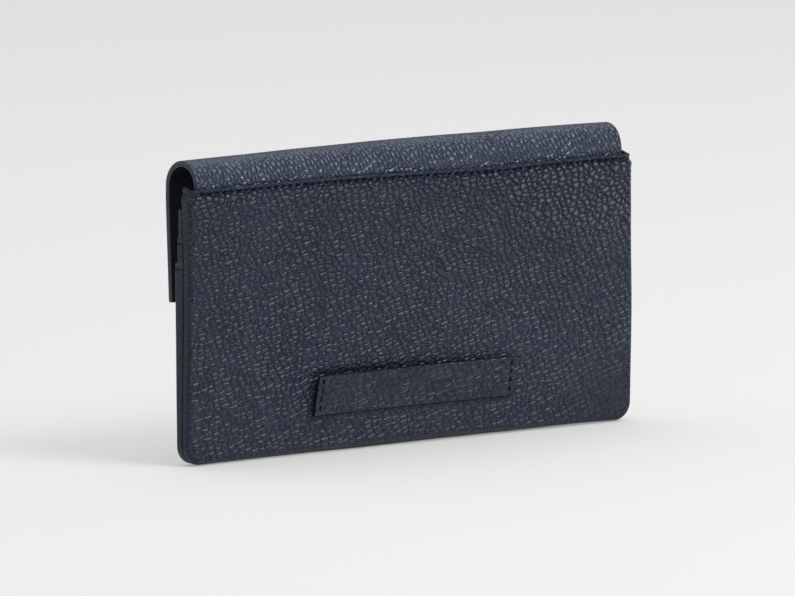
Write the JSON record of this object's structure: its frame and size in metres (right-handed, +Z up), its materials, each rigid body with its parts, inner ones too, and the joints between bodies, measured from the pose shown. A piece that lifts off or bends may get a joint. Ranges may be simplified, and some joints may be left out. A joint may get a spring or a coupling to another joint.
{
  "type": "long wallet",
  "caption": "Long flap wallet: flat leather body with note compartment, stepped card rows and zip coin pocket, and a flap that arches over the top to a magnetic snap.",
  "frame": {"origin": "on the surface the wallet stands on, under the middle of its overall box", "axes": "+Z up; +Y out of the plain rear panel; -Y out of the card side and the flap's front; +X to the right as seen from the card side, along the length"},
  "size_m": [0.195, 0.0206, 0.1077],
  "materials": {
    "leather_outer": "pebbled, semi-matt, dark navy",
    "leather_inner": "smooth, matt, darker navy",
    "lining_fabric": "fine grey twill",
    "zip_tape": "woven dark tape",
    "thread": "waxed dark thread",
    "zip_metal": "satin nickel",
    "snap_metal": "satin nickel",
    "magnet": "dark plated"
  },
  "bodies": {
    "body": {"rear_panel": "leather_outer", "rear_strap": "leather_outer", "flap_anchor": "leather_outer", "zip_panel": "leather_outer", "card_strip": "leather_outer", "front_panel": "leather_outer", "note_divider": "leather_inner", "flap_anchor_lining": "leather_inner", "rear_lining": "lining_fabric", "card_strip_lining": "lining_fabric", "front_lining": "lining_fabric", "zip_tape_upper": "zip_tape", "zip_tape_lower": "zip_tape", "top_stitching": "thread", "strap_stitching_left": "thread", "strap_stitching_right": "thread", "zip_window_stitching": "thread", "card_strip_stitching": "thread", "front_panel_stitching": "thread", "card_column_stitching": "thread", "zip_teeth_upper": "zip_metal", "zip_teeth_lower": "zip_metal", "zip_end_stops": "zip_metal", "snap_socket_base": "snap_metal", "snap_socket_cap": "snap_metal", "snap_socket_washer": "snap_metal", "snap_magnet": "magnet"},
    "flap_rear_bend": {"flap_bend_rear": "leather_outer", "flap_bend_rear_lining": "leather_inner"},
    "flap_front_bend": {"flap_bend_front": "leather_outer", "flap_bend_front_lining": "leather_inner"},
    "flap_panel": {"flap_front": "leather_outer", "flap_front_lining": "leather_inner", "snap_stud": "snap_metal", "snap_stud_washer": "snap_metal"},
    "zip_slider": {"zip_slider": "zip_metal"},
    "zip_pull": {"zip_pull": "zip_metal"}
  },
  "joints": [
    {"name": "flap_open", "type": "hinge", "parent": "body", "child": "flap_rear_bend", "pos_m": [0, 0.00793, 0.10151], "axis": [-1, 0, 0], "range_deg": [0, 60]},
    {"name": "flap_crown_turn", "type": "hinge", "parent": "flap_rear_bend", "child": "flap_front_bend", "pos_m": [0, -0.0009, 0.1077], "axis": [-1, 0, 0], "range_deg": [0, 60]},
    {"name": "flap_front_turn", "type": "hinge", "parent": "flap_front_bend", "child": "flap_panel", "pos_m": [0, -0.00973, 0.10151], "axis": [-1, 0, 0], "range_deg": [0, 60]},
    {"name": "zip_slide", "type": "slide", "parent": "body", "child": "zip_slider", "axis": [-1, 0, 0], "range_m": [0, 0.1402]},
    {"name": "zip_pull_turn", "type": "hinge", "parent": "zip_slider", "child": "zip_pull", "pos_m": [0.0702, -0.0011, 0.0854], "axis": [0, 0, 1], "range_deg": [0, 170]}
  ],
  "couplings": [
    {"joint": "flap_crown_turn", "follows": "flap_open", "ratio": 1},
    {"joint": "flap_front_turn", "follows": "flap_open", "ratio": 1}
  ]
}
